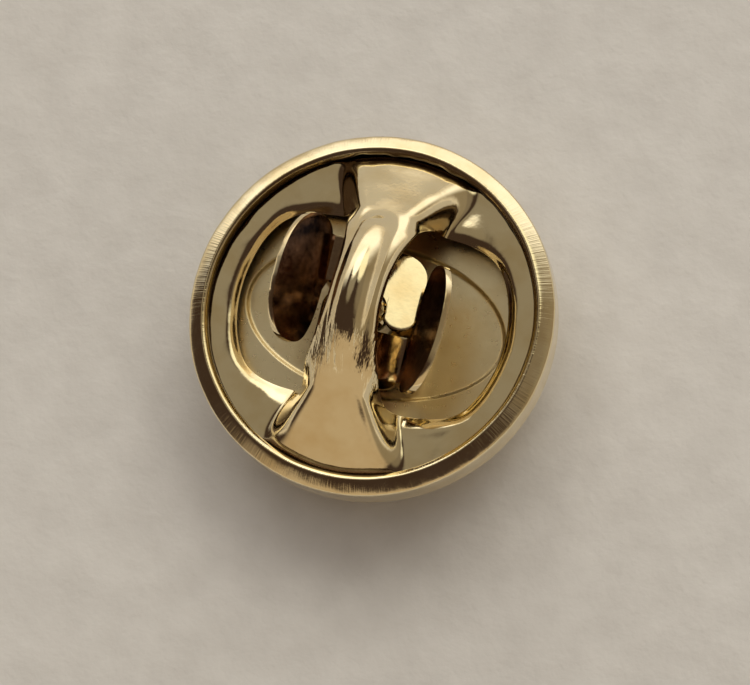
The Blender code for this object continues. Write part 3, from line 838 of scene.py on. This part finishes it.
def lobe(nodes, links, direction, start, full):
    """One round the given direction, fading to nought, by the cosine of the angle from it."""
    dot = nodes.new("ShaderNodeVectorMath")
    dot.operation = "DOT_PRODUCT"
    links.new(nodes["Texture Coordinate"].outputs["Generated"], dot.inputs[0])
    dot.inputs[1].default_value = direction.normalized()
    spread = nodes.new("ShaderNodeMapRange")
    spread.interpolation_type = "SMOOTHSTEP"
    spread.inputs["From Min"].default_value = start
    spread.inputs["From Max"].default_value = full
    links.new(dot.outputs["Value"], spread.inputs["Value"])
    return spread.outputs["Result"]


def lobes_over(nodes, links, colour, lobes):
    """A base colour with each lobe of light laid over it in turn."""
    for direction, start, full, light in lobes:
        colour = colour_mix(nodes, links, lobe(nodes, links, direction, start, full), colour, light)
    return colour


def add_world():
    """A room: bright windows to the north, a mid-grey ceiling, a dull south wall and darkness to the west."""
    world = bpy.data.worlds.new("studio")
    bpy.context.scene.world = world
    world.use_nodes = True
    nodes, links = world.node_tree.nodes, world.node_tree.links
    nodes.new("ShaderNodeTexCoord")
    walls = lobes_over(nodes, links, DARK_ROOM, WALL_LOBES)
    walls = colour_mix(nodes, links, lobe(nodes, links, UP, *PAPER_HORIZON), LIT_PAPER, walls)
    ceiling = lobes_over(nodes, links, DARK_ROOM, CEILING_LOBES)
    room = colour_mix(nodes, links, lobe(nodes, links, UP, *CEILING_START), walls, ceiling)
    links.new(room, nodes["Background"].inputs["Color"])
    nodes["Background"].inputs["Strength"].default_value = 1.0


def add_light(name, direction, distance, size, power, colour):
    """A soft round lamp that lights the paper and isn't seen in the metal."""
    light = bpy.data.lights.new(name, "AREA")
    light.shape = "DISK"
    light.size = size
    light.energy = power
    light.color = colour
    lamp = bpy.data.objects.new(name, light)
    lamp.visible_glossy = False
    bpy.context.scene.collection.objects.link(lamp)
    direction = direction.normalized()
    lamp.location = Vector((0, 0, CLUTCH_Z * MM)) + direction * distance
    lamp.rotation_mode = "QUATERNION"
    lamp.rotation_quaternion = direction.to_track_quat("Z", "Y")


def add_floor():
    """The sheet of paper that the pin lies on, a hair below the badge's face."""
    half, low = PAPER_HALF_SIZE, PAPER_HEIGHT
    corners = [(-half, -half, low), (half, -half, low), (half, half, low), (-half, half, low)]
    mesh = bpy.data.meshes.new("paper")
    mesh.from_pydata(corners, [], [(0, 1, 2, 3)])
    mesh.materials.append(paper_material())
    floor = bpy.data.objects.new("paper", mesh)
    bpy.context.scene.collection.objects.link(floor)


add_camera()
add_world()
add_light("window", NORTH * 0.9 + EAST * 0.6 + UP * 1.2, 0.5, size=0.3, power=0.36, colour=(1, 0.97, 0.92))
add_light("ceiling", UP + NORTH * 0.3 + EAST * 0.1, 0.6, size=0.9, power=1.3, colour=(1, 0.99, 0.98))
add_light("fill", EAST - NORTH * 0.35 + UP * 0.45, 0.5, size=0.5, power=0.35, colour=(1, 0.98, 0.95))
bpy.context.scene.view_settings.view_transform = "Standard"
add_floor()

plain_gold = gold_material("plain_gold", GOLD, 0.1)
clip_gold = gold_material("clip_gold", CLIP_GOLD, 0.08)
# Painted shade: the plating of the back faces is darkened to brown and black, for the shade under the cap and
# behind the wings.
inside_shade_gold = gold_material("inside_shade_gold", INSIDE_SHADE_GOLD, 0.16)
solder = gold_material("solder", SOLDER, 0.35)
build_cup(gold_material("cup_gold", GOLD, 0.09, rolled=True))
build_cap(gold_material("cap_gold", GOLD, 0.08, wrinkled=True), inside_shade_gold)
build_wing(clip_gold, inside_shade_gold, "left_wing", 1)
build_wing(clip_gold, inside_shade_gold, "right_wing", -1)
paint_cad_nodes(
    {
        "yellow_enamel": enamel_material("yellow_glass", YELLOW),
        "white_enamel": enamel_material("white_glass", WHITE),
        "blue_enamel": enamel_material("blue_glass", BLUE),
    },
    {"badge_base": plain_gold, "post": plain_gold, "post_solder": solder, "spring_leaf": clip_gold},
)
